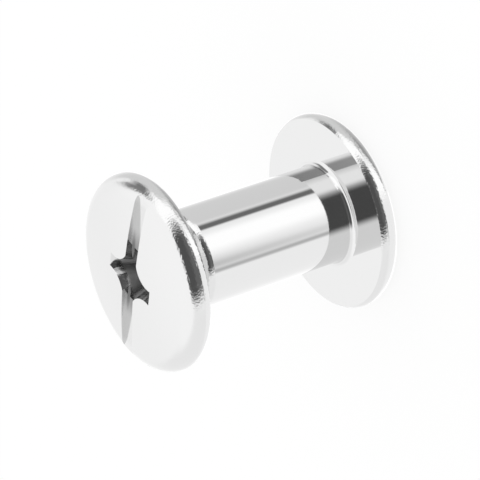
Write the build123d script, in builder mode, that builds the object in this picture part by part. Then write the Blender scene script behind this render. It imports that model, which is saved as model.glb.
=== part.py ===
from build123d import *
from math import cos, radians, sin, sqrt, tan
import os

# Binding barrel screw, standing on the barrel's flat head.
# Origin: centre of the face it stands on. +Z runs up the common axis to the
# screw's head; the driver slot lies along X.

# ---- driving dimensions (mm) ----
head_diameter = 12.7            # both heads
barrel_diameter = 6.35          # outside of the tube that fills the punched holes
tube_length = 11.0              # under the barrel's head
backed_out = 1.6                # the screw stands two turns of its thread short of home

# rim, the same on both heads: an arc from the clamping face's sharp edge to the widest point
rim_arc_radius = 0.7
rim_arc_start = 47.0            # degrees between the arc's first normal and the axis

# barrel's head
barrel_face_radius = 1.05       # rounding between its outer face and the widest point

# tube
root_fillet = 0.35              # where the tube grows out of its head
mouth_radius = 0.7              # outer rounding of the open end
thread_diameter = 4.4           # crest of the shank's thread
thread_depth = 0.25             # crest to root; the turns themselves are not cut here
thread_clearance = 0.05         # radial, crest of the shank to crest of the bore
bore_depth = 10.6               # full diameter, from the open end
drill_point_angle = 118.0       # at the blind end
bore_lead_in = 0.2              # chamfer at the open end

# screw's head
crown_radius = 43.0             # of the low dome
crown_edge_radius = 1.15        # rounding between dome and widest point

# shank
shank_length = 10.5             # under the head
neck_length = 2.8               # plain, at the thread's crest; its end stays in the bore
neck_flare = 0.2                # chamfer under the head
shank_point = 0.4               # chamfer at the free end

# combination drive
slot_width = 1.16               # at the floor
slot_depth = 0.54               # below the top of the dome
slot_draft = 3.0                # degrees, each wall
wing_reach = 2.25               # axis to wing tip at the face
wing_width = 1.04                # at the face
web_reach = 1.3                 # axis to the hollow between two wings, at the face
recess_depth = 2.3              # to the bottom, below the top of the dome
recess_shrink = 0.38            # plan of the cross at the bottom over its plan at the face

# ---- derived ----
head_radius = head_diameter / 2
barrel_radius = barrel_diameter / 2
neck_radius = thread_diameter / 2
shank_radius = neck_radius - thread_depth
bore_radius = neck_radius + thread_clearance
rim_arc_height = rim_arc_radius * cos(radians(rim_arc_start))
rim_arc_inset = rim_arc_radius * (1 - sin(radians(rim_arc_start)))
face_radius = head_radius - rim_arc_inset
barrel_head_height = barrel_face_radius + rim_arc_height
mouth_height = barrel_head_height + tube_length
blind_end_height = mouth_height - bore_depth
drill_point_height = blind_end_height - bore_radius / tan(radians(drill_point_angle / 2))
seat_height = mouth_height + backed_out
shank_end_height = seat_height - shank_length
neck_end_height = seat_height - neck_length
widest_height = seat_height + rim_arc_height
crown_edge_reach = head_radius - crown_edge_radius
crown_centre_drop = sqrt((crown_radius - crown_edge_radius) ** 2 - crown_edge_reach**2)
crown_top_height = widest_height - crown_centre_drop + crown_radius
crown_edge_scale = crown_radius / (crown_radius - crown_edge_radius)
crown_join_radius = crown_edge_reach * crown_edge_scale
crown_join_height = widest_height + crown_centre_drop * (crown_edge_scale - 1)
slot_floor_height = crown_top_height - slot_depth
recess_sections = ((0, 1), (recess_depth, recess_shrink))

# ---- barrel: head and internally threaded tube, turned as one piece ----
with BuildPart() as barrel:
    # head, from its flat outer face up to the clamping face
    with BuildSketch(Plane.XZ):
        with BuildLine():
            Polyline(
                (0, barrel_head_height),
                (0, 0),
                (head_radius - barrel_face_radius, 0),
            )
            RadiusArc(
                (head_radius - barrel_face_radius, 0),
                (head_radius, barrel_face_radius),
                -barrel_face_radius,
            )
            RadiusArc(
                (head_radius, barrel_face_radius),
                (face_radius, barrel_head_height),
                -rim_arc_radius,
            )
            Line((face_radius, barrel_head_height), (0, barrel_head_height))
        make_face()
    revolve(axis=Axis.Z)
    # tube
    with BuildSketch(Plane.XY.offset(barrel_head_height)):
        Circle(barrel_radius)
    extrude(amount=tube_length)
    fillet(
        barrel.edges()
        .filter_by(GeomType.CIRCLE)
        .group_by(Axis.Z)[-2]
        .sort_by(SortBy.LENGTH)[0],
        root_fillet,
    )
    fillet(barrel.edges().filter_by(GeomType.CIRCLE).sort_by(Axis.Z)[-1], mouth_radius)
    # threaded hole, drilled blind, with a lead-in at its mouth
    with BuildSketch(Plane.XZ):
        with BuildLine():
            Polyline(
                (0, mouth_height),
                (bore_radius + bore_lead_in, mouth_height),
                (bore_radius, mouth_height - bore_lead_in),
                (bore_radius, blind_end_height),
                (0, drill_point_height),
                close=True,
            )
        make_face()
    revolve(axis=Axis.Z, mode=Mode.SUBTRACT)

# ---- screw: domed head, combination drive and shank, made as one piece ----
with BuildPart() as screw:
    # shank at the thread's root, plain neck, and head from its clamping face to the dome
    with BuildSketch(Plane.XZ):
        with BuildLine():
            Polyline(
                (0, crown_top_height),
                (0, shank_end_height),
                (shank_radius - shank_point, shank_end_height),
                (shank_radius, shank_end_height + shank_point),
                (shank_radius, neck_end_height - thread_depth),
                (neck_radius, neck_end_height),
                (neck_radius, seat_height - neck_flare),
                (neck_radius + neck_flare, seat_height),
                (face_radius, seat_height),
            )
            RadiusArc(
                (face_radius, seat_height),
                (head_radius, widest_height),
                -rim_arc_radius,
            )
            RadiusArc(
                (head_radius, widest_height),
                (crown_join_radius, crown_join_height),
                -crown_edge_radius,
            )
            RadiusArc(
                (crown_join_radius, crown_join_height),
                (0, crown_top_height),
                -crown_radius,
            )
        make_face()
    revolve(axis=Axis.Z)
    # slot: straight floor right across the dome
    with BuildSketch(Plane.XY.offset(slot_floor_height)):
        Rectangle(head_diameter, slot_width)
    extrude(amount=slot_depth, taper=-slot_draft, mode=Mode.SUBTRACT)
    # cross recess: each section is a square with its four corners hollowed out
    for depth, shrink in recess_sections:
        tip = wing_reach * shrink
        half = wing_width / 2 * shrink
        web = web_reach * shrink / 2**0.5
        hollow = (tip**2 + half**2 - 2 * web**2) / (2 * (tip + half) - 4 * web)
        with BuildSketch(Plane.XY.offset(crown_top_height - depth)):
            Rectangle(2 * tip, 2 * tip)
            with GridLocations(2 * hollow, 2 * hollow, 2, 2):
                Circle((hollow - web) * 2**0.5, mode=Mode.SUBTRACT)
    loft(ruled=True, mode=Mode.SUBTRACT)

# ---- write the pieces ----
os.makedirs("parts", exist_ok=True)
barrel.part.label = "barrel"
export_step(barrel.part, "parts/barrel.step")
screw.part.label = "screw"
export_step(screw.part, "parts/screw.step")
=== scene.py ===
import math

import bpy
import numpy as np
from mathutils import Matrix, Vector


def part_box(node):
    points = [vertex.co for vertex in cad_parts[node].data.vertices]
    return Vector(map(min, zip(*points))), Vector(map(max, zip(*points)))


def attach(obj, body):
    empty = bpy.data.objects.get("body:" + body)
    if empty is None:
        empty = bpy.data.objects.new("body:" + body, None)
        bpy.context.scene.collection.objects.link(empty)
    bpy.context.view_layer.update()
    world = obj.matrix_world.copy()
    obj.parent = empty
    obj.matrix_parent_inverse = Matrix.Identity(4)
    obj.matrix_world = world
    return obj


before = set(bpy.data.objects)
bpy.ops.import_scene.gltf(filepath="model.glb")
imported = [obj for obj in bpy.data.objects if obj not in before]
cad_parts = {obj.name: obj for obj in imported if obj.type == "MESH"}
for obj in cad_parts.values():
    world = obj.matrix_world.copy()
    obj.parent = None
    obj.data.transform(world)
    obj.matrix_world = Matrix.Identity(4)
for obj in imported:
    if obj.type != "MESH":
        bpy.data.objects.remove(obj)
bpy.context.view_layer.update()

# ---- Studio -------------------------------------------------------------
# A white tent around the stand, open behind the camera, with a window beside
# the opening, two dark rails and some greyer cloth. Bright plate has no colour
# of its own, so this surround is most of what its surfaces show.
CAMERA_SIDE = math.radians(-45.8)       # heading from the object to the camera

bpy.context.scene.view_settings.view_transform = "Standard"
world = bpy.data.worlds.new("tent")
bpy.context.scene.world = world
world.use_nodes = True
tent = world.node_tree.nodes
tie = world.node_tree.links.new
tent.clear()
way = tent.new("ShaderNodeTexCoord").outputs["Generated"]


def along(direction):
    """How far the looked-at direction leans towards the given one, from -1 to 1."""
    dot = tent.new("ShaderNodeVectorMath")
    dot.operation = "DOT_PRODUCT"
    tie(way, dot.inputs[0])
    dot.inputs[1].default_value = direction
    return dot.outputs["Value"]


def sum_up(nodes, link, operation, a, b=0.0):
    """One step of arithmetic on two values, either of which may be a socket."""
    node = nodes.new("ShaderNodeMath")
    node.operation = operation
    for socket, value in zip(node.inputs, (a, b)):
        if isinstance(value, (int, float)):
            socket.default_value = value
        else:
            link(value, socket)
    return node.outputs[0]


def step(nodes, link, value, start, end, low=0.0, high=1.0):
    """A soft step from low to high while the value goes from start to end, which may run backwards."""
    node = nodes.new("ShaderNodeMapRange")
    node.interpolation_type = "SMOOTHSTEP"
    link(value, node.inputs["Value"])
    if start > end:
        start, end, low, high = end, start, high, low
    for socket, number in (("From Min", start), ("From Max", end), ("To Min", low), ("To Max", high)):
        node.inputs[socket].default_value = number
    return node.outputs["Result"]


def patch(*steps):
    """A soft-edged area of the tent: the product of soft steps, each a value with its start and end."""
    mask = 1.0
    for value, start, end in steps:
        mask = sum_up(tent, tie, "MULTIPLY", step(tent, tie, value, start, end), mask)
    return mask


def hang(cloth, level, *steps):
    """Hangs a cloth of the given brightness over what hangs there already, over the area of the steps."""
    node = tent.new("ShaderNodeMix")
    tie(patch(*steps), node.inputs["Factor"])
    for socket, value in (("A", cloth), ("B", level)):
        if isinstance(value, float):
            node.inputs[socket].default_value = value
        else:
            tie(value, node.inputs[socket])
    return node.outputs["Result"]


front = along((math.cos(CAMERA_SIDE), math.sin(CAMERA_SIDE), 0.0))
side = along((-math.sin(CAMERA_SIDE), math.cos(CAMERA_SIDE), 0.0))
height = along((0.0, 0.0, 1.0))
# degrees round the stand, 0 at the camera; and degrees down from overhead, 90 level
turn = sum_up(tent, tie, "DEGREES", sum_up(tent, tie, "ARCTAN2", side, front))
tilt = sum_up(tent, tie, "DEGREES", sum_up(tent, tie, "ARCCOSINE", height))

LEVEL = 1.185          # the white tent as the plate mirrors it; every cloth is a share of it
cloth = hang(1.0, 0.93, (tilt, 45, 72))
cloth = hang(cloth, 0.87, (turn, -48, -66), (turn, -172, -150), (tilt, 45, 66), (tilt, 122, 108))
# the window, and light from below in front
cloth = hang(cloth, 1.12, (turn, 38, 47), (turn, 84, 72), (tilt, 38, 46), (tilt, 116, 100))
cloth = hang(cloth, 1.12, (turn, -16, 10), (turn, 48, 28), (tilt, 104, 118))
cloth = hang(cloth, 1.12, (turn, 144, 172), (tilt, 108, 117), (tilt, 134, 124))
cloth = hang(cloth, 1.12, (turn, -128, -152), (tilt, 114, 130), (tilt, 158, 144))
# greyer cloth low on one side, with a dark gap beside it
cloth = hang(cloth, 0.68, (turn, 60, 78), (turn, 170, 130), (tilt, 84, 98))
cloth = hang(cloth, 0.50, (turn, 58, 74), (turn, 170, 138), (tilt, 122, 142))
cloth = hang(cloth, 0.34, (turn, 50, 64), (turn, 124, 84), (tilt, 132, 144))
cloth = hang(cloth, 0.15, (turn, 48.5, 55), (turn, 71, 61), (tilt, 110, 117), (tilt, 134, 124))
# two dark rails on that side, one over the other
cloth = hang(cloth, 0.20, (turn, 79, 97), (turn, 146, 120), (tilt, 53, 62), (tilt, 82, 70))
cloth = hang(cloth, 0.17, (turn, 82, 98), (turn, 124, 106), (tilt, 66, 78), (tilt, 98, 84))
# the opening behind the camera: arched above, its left and lower edges slanting
arch = sum_up(tent, tie, "POWER", sum_up(tent, tie, "ABSOLUTE", sum_up(tent, tie, "ADD", turn, 7.0)), 2.0)
arch = sum_up(tent, tie, "SUBTRACT", tilt, sum_up(tent, tie, "MULTIPLY", arch, 0.0032))
jamb = sum_up(tent, tie, "SUBTRACT", turn, sum_up(tent, tie, "MULTIPLY", tilt, 0.22))
sill = sum_up(tent, tie, "ADD", tilt, sum_up(tent, tie, "MULTIPLY", turn, 0.25))
dark = hang(0.08, 0.13, (tilt, 74, 92))
cloth = hang(cloth, dark, (jamb, -75, -52), (turn, 53, 26), (arch, 27, 42), (sill, 117, 104))
# a lit seam in its lower edge
cloth = hang(cloth, 0.47, (turn, -55, -47), (turn, -38, -46), (tilt, 108, 116), (tilt, 128, 121))

rays = tent.new("ShaderNodeLightPath")
lit = tent.new("ShaderNodeBackground")
lit.inputs["Strength"].default_value = 1.05
seen = tent.new("ShaderNodeBackground")
seen.inputs["Strength"].default_value = LEVEL
tie(cloth, seen.inputs["Color"])
backdrop = tent.new("ShaderNodeBackground")
out = tent.new("ShaderNodeOutputWorld")
pick = [tent.new("ShaderNodeMixShader") for _ in range(2)]
tie(rays.outputs["Is Glossy Ray"], pick[0].inputs["Fac"])
tie(lit.outputs[0], pick[0].inputs[1])
tie(seen.outputs[0], pick[0].inputs[2])
tie(rays.outputs["Is Camera Ray"], pick[1].inputs["Fac"])
tie(pick[0].outputs[0], pick[1].inputs[1])
tie(backdrop.outputs[0], pick[1].inputs[2])
tie(pick[1].outputs[0], out.inputs["Surface"])
lit.inputs["Color"].default_value = backdrop.inputs["Color"].default_value = (1, 1, 1, 1)

bpy.ops.mesh.primitive_plane_add(size=3.0)
floor = bpy.context.object
floor.name = "floor"
paper = bpy.data.materials.new("paper")
paper.use_nodes = True
nodes, link = paper.node_tree.nodes, paper.node_tree.links.new
sheet = nodes["Principled BSDF"]
sheet.inputs["Base Color"].default_value = (0.97, 0.97, 0.97, 1)
sheet.inputs["Roughness"].default_value = 1.0
sheet.inputs["Specular IOR Level"].default_value = 0.0
floor.data.materials.append(paper)
floor.visible_glossy = False
# the camera sees the paper lit through from behind, so that the shadow on it is faint
glow = nodes.new("ShaderNodeEmission")
both = nodes.new("ShaderNodeMixShader")
rays = nodes.new("ShaderNodeLightPath")
share = nodes.new("ShaderNodeMath")
share.operation = "MULTIPLY"
share.inputs[1].default_value = 0.85
link(rays.outputs["Is Camera Ray"], share.inputs[0])
link(share.outputs[0], both.inputs["Fac"])
link(sheet.outputs[0], both.inputs[1])
link(glow.outputs[0], both.inputs[2])
link(both.outputs[0], nodes["Material Output"].inputs["Surface"])

# ---- Camera -------------------------------------------------------------
# A long lens, rolled over on its side: the part stands on the floor, and the
# picture is taken as if it lay with the screw's head to the left.
EYE = Vector((0.132723, -0.136364, 0.112518))
AIM = Vector((0.000103, 0.000012, 0.007916))
ROLL = math.radians(-108.564)
lens = bpy.data.cameras.new("camera")
lens.sensor_width = 36.0
lens.lens = 262.5
lens.clip_start = 0.001
camera = bpy.data.objects.new("camera", lens)
bpy.context.collection.objects.link(camera)
facing = (AIM - EYE).to_track_quat("-Z", "Y").to_matrix().to_4x4()
camera.matrix_world = Matrix.Translation(EYE) @ facing @ Matrix.Rotation(ROLL, 4, "Z")
bpy.context.scene.camera = camera


# ---- Barrel -------------------------------------------------------------
# One turned piece: a flat round head and a smooth tube, tapped from its open
# end. It is polished and nickel-plated; the tumbled rim and the rounded mouth
# keep a fine grain.
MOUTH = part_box("barrel")[1][2]
PITCH = 0.0008
SHEEN = 0.75            # how much of the light the plate sends back


def effect(name, inputs, outputs):
    """A new node group with the named sockets: the group, its node list, a linker and its two ends."""
    group = bpy.data.node_groups.new(name, "ShaderNodeTree")
    for socket, kind in inputs:
        group.interface.new_socket(socket, in_out="INPUT", socket_type=kind)
    for socket, kind in outputs:
        group.interface.new_socket(socket, in_out="OUTPUT", socket_type=kind)
    ends = group.nodes.new("NodeGroupInput"), group.nodes.new("NodeGroupOutput")
    return group, group.nodes, group.links.new, *ends


# Place on a turned piece: distance from its axis, height, and bearing round it in turns.
lathe, nodes, link, start, end = effect(
    "place on the lathe",
    [("Place", "NodeSocketVector")],
    [("Reach", "NodeSocketFloat"), ("Height", "NodeSocketFloat"), ("Bearing", "NodeSocketFloat")],
)
split = nodes.new("ShaderNodeSeparateXYZ")
link(start.outputs["Place"], split.inputs[0])
flat = nodes.new("ShaderNodeCombineXYZ")
link(split.outputs["X"], flat.inputs["X"])
link(split.outputs["Y"], flat.inputs["Y"])
length = nodes.new("ShaderNodeVectorMath")
length.operation = "LENGTH"
link(flat.outputs[0], length.inputs[0])
link(length.outputs["Value"], end.inputs["Reach"])
link(split.outputs["Z"], end.inputs["Height"])
bearing = sum_up(nodes, link, "ARCTAN2", split.outputs["Y"], split.outputs["X"])
link(sum_up(nodes, link, "DIVIDE", bearing, 2 * math.pi), end.inputs["Bearing"])

# Plate over tumbled metal: a fine pebbled grain where the mask is 1, and a
# faint polish haze everywhere.
tumbled, nodes, link, start, end = effect(
    "tumbled plate",
    [("Place", "NodeSocketVector"), ("Mask", "NodeSocketFloat")],
    [("Roughness", "NodeSocketFloat"), ("Normal", "NodeSocketVector")],
)
pebbles = nodes.new("ShaderNodeTexNoise")
pebbles.inputs["Scale"].default_value = 8500.0
pebbles.inputs["Detail"].default_value = 0.6
link(start.outputs["Place"], pebbles.inputs["Vector"])
haze = nodes.new("ShaderNodeTexNoise")
haze.inputs["Scale"].default_value = 900.0
haze.inputs["Detail"].default_value = 4.0
link(start.outputs["Place"], haze.inputs["Vector"])
polish = step(nodes, link, haze.outputs["Fac"], 0.35, 0.65, 0.045, 0.065)
coarse = step(nodes, link, start.outputs["Mask"], 0.0, 1.0, 0.0, 0.03)
link(sum_up(nodes, link, "ADD", polish, coarse), end.inputs["Roughness"])
bump = nodes.new("ShaderNodeBump")
bump.inputs["Distance"].default_value = 0.000011
link(start.outputs["Mask"], bump.inputs["Strength"])
link(pebbles.outputs["Fac"], bump.inputs["Height"])
link(bump.outputs["Normal"], end.inputs["Normal"])


def place_group(nodes, group):
    """Puts a node group into a material."""
    node = nodes.new("ShaderNodeGroup")
    node.node_tree = group
    return node


def metal(name):
    """A bare metal: its material, nodes, linker, shader, coordinates and place on the lathe."""
    material = bpy.data.materials.new(name)
    material.use_nodes = True
    nodes, link = material.node_tree.nodes, material.node_tree.links.new
    bsdf = nodes["Principled BSDF"]
    bsdf.inputs["Metallic"].default_value = 1.0
    bsdf.inputs["Base Color"].default_value = (SHEEN, SHEEN, SHEEN, 1)
    place = nodes.new("ShaderNodeTexCoord").outputs["Object"]
    where = place_group(nodes, lathe)
    link(place, where.inputs["Place"])
    return material, nodes, link, bsdf, place, where


def tumble(nodes, link, bsdf, place, mask):
    """Finishes a metal with the tumbled plate where the mask is 1. Returns the group."""
    finish = place_group(nodes, tumbled)
    link(place, finish.inputs["Place"])
    link(mask, finish.inputs["Mask"])
    link(finish.outputs["Roughness"], bsdf.inputs["Roughness"])
    link(finish.outputs["Normal"], bsdf.inputs["Normal"])
    return finish


def toned(nodes, link, bsdf, tone):
    """Colours a metal with a grey that changes over its surface."""
    shade = nodes.new("ShaderNodeCombineColor")
    for channel in ("Red", "Green", "Blue"):
        link(tone, shade.inputs[channel])
    link(shade.outputs[0], bsdf.inputs["Base Color"])


def dress(node, material):
    """Puts a material on a CAD node in place of the one it came with."""
    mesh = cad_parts[node].data
    mesh.materials.clear()
    mesh.materials.append(material)


plate, nodes, link, bsdf, place, where = metal("barrel plate")
rim = step(nodes, link, where.outputs["Reach"], 0.00606, 0.00618)
mouth = step(nodes, link, where.outputs["Height"], MOUTH - 0.00074, MOUTH - 0.00062)
finish = tumble(nodes, link, bsdf, place, sum_up(nodes, link, "MAXIMUM", rim, mouth))
# the right-hand thread cut in the bore, too fine to model
turns = sum_up(nodes, link, "DIVIDE", where.outputs["Height"], PITCH)
turns = sum_up(nodes, link, "SUBTRACT", turns, where.outputs["Bearing"])
wall = step(nodes, link, where.outputs["Reach"], 0.00232, 0.00228)
below = step(nodes, link, where.outputs["Height"], MOUTH - 0.0003, MOUTH - 0.0007)
wall = sum_up(nodes, link, "MULTIPLY", wall, below)
groove = nodes.new("ShaderNodeBump")
groove.inputs["Distance"].default_value = 0.0002
turns = sum_up(nodes, link, "PINGPONG", turns, 0.5)
link(sum_up(nodes, link, "MULTIPLY", turns, wall), groove.inputs["Height"])
link(finish.outputs["Normal"], groove.inputs["Normal"])
link(groove.outputs["Normal"], bsdf.inputs["Normal"])
# the cut thread is given duller and darker plate than the turned outside
cut = sum_up(nodes, link, "MULTIPLY", wall, 0.25)
link(sum_up(nodes, link, "ADD", finish.outputs["Roughness"], cut), bsdf.inputs["Roughness"])
toned(nodes, link, bsdf, sum_up(nodes, link, "SUBTRACT", SHEEN, cut))
dress("barrel", plate)

# ---- Screw --------------------------------------------------------------
# One headed piece with a low dome and a combined slot and cross pressed into
# it, plated like the barrel. The recess is drawn with a duller plate, and its darker grey is painted
# shade.
CROWN_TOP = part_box("screw")[1][2] + 0.00002      # the recess takes away the very top
CROWN_RADIUS = 0.043
SEAT = CROWN_TOP - 0.00195                      # the underside of the head
plate, nodes, link, bsdf, place, where = metal("screw plate")
reach, height = where.outputs["Reach"], where.outputs["Height"]
rim = step(nodes, link, reach, 0.0056, 0.0060)
finish = tumble(nodes, link, bsdf, place, rim)
# depth below the dome, from the drop of a ball of that radius
drop = sum_up(nodes, link, "DIVIDE", sum_up(nodes, link, "MULTIPLY", reach, reach), 2 * CROWN_RADIUS)
depth = sum_up(nodes, link, "SUBTRACT", sum_up(nodes, link, "SUBTRACT", CROWN_TOP, height), drop)
# the recess: inside the head short of its rim, and below it only within the neck
core = step(nodes, link, height, SEAT - 0.0008, SEAT - 0.0006)
core = sum_up(nodes, link, "MULTIPLY", core, step(nodes, link, reach, 0.0020, 0.0019))
pressed = sum_up(nodes, link, "MAXIMUM", core, step(nodes, link, height, SEAT + 0.0002, SEAT + 0.0004))
pressed = sum_up(nodes, link, "MULTIPLY", pressed, step(nodes, link, reach, 0.0056, 0.0052))
# painted shade: the plate's grey darkens a little inside the recess and more in its depth; the same masks
# make the plate duller there
inside = sum_up(nodes, link, "MULTIPLY", step(nodes, link, depth, 0.00002, 0.00010), pressed)
deep = sum_up(nodes, link, "MULTIPLY", step(nodes, link, depth, 0.00045, 0.00080), pressed)
tone = sum_up(nodes, link, "SUBTRACT", SHEEN, sum_up(nodes, link, "MULTIPLY", inside, 0.04))
tone = sum_up(nodes, link, "SUBTRACT", tone, sum_up(nodes, link, "MULTIPLY", deep, 0.26))
# painted shade: the slot's floor darkens towards the cross
beside = step(nodes, link, depth, 0.00030, 0.00044)
beside = sum_up(nodes, link, "MULTIPLY", beside, step(nodes, link, reach, 0.0036, 0.0020))
beside = sum_up(nodes, link, "MULTIPLY", beside, pressed)
tone = sum_up(nodes, link, "SUBTRACT", tone, sum_up(nodes, link, "MULTIPLY", beside, 0.30))
# the painted shade goes no darker than this grey
DARKEST = 0.36
toned(nodes, link, bsdf, sum_up(nodes, link, "MAXIMUM", tone, DARKEST))
dull = sum_up(nodes, link, "MULTIPLY", inside, 0.06)
dull = sum_up(nodes, link, "ADD", dull, sum_up(nodes, link, "MULTIPLY", deep, 0.40))
link(sum_up(nodes, link, "ADD", finish.outputs["Roughness"], dull), bsdf.inputs["Roughness"])
dress("screw", plate)

# Shank thread, rolled on the shank of the same piece: a right-hand ridge from
# the tip to the plain neck, which fades out at both ends.
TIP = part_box("screw")[0][2]
THREAD = (TIP + 0.0004, TIP + 0.0076)           # heights of its first and last turn's middle
ROOT, CREST, HALF_WIDTH = 0.00190, 0.00220, 0.00033


def ridge(name, low, high):
    """A helical ridge. It climbs one pitch per turn. Its section rises from the sunk root as the sine of a
    quarter wave on each flank, to a flat crest a fifth of its width. Over the first and the last half turn
    it sinks back."""
    count = (high - low) / PITCH
    turns = np.linspace(0.0, count, int(72 * count))[:, None]
    width = np.linspace(-1.0, 1.0, 11)[None, :]
    flank = np.sin(np.minimum((1.0 - np.abs(width)) / 0.8, 1.0) * math.pi / 2)
    ends = np.clip(np.minimum(turns, turns[-1] - turns) / 0.5, 0.0, 1.0)
    radius = ROOT + (CREST - ROOT) * flank * (0.02 + 0.98 * ends * ends * (3.0 - 2.0 * ends))
    angle = 2.0 * math.pi * turns
    rise = low + PITCH * turns + HALF_WIDTH * width
    points = np.stack((radius * np.cos(angle), radius * np.sin(angle), rise), -1)
    rows, columns = radius.shape
    first = (np.arange(rows - 1) * columns)[:, None] + np.arange(columns)[None, :]
    beside = (np.arange(rows - 1) * columns)[:, None] + np.roll(np.arange(columns), -1)[None, :]
    sides = np.stack((first, first + columns, beside + columns, beside), -1).reshape(-1, 4)
    caps = [list(range(columns)), list(range(rows * columns - 1, (rows - 1) * columns - 1, -1))]
    mesh = bpy.data.meshes.new(name)
    mesh.from_pydata(points.reshape(-1, 3).tolist(), [], sides.tolist() + caps)
    mesh.polygons.foreach_set("use_smooth", np.ones(len(mesh.polygons), dtype=bool))
    piece = bpy.data.objects.new(name, mesh)
    bpy.context.collection.objects.link(piece)
    return piece


thread = ridge("shank_thread", *THREAD)
thread.data.materials.append(plate)
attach(thread, "screw")
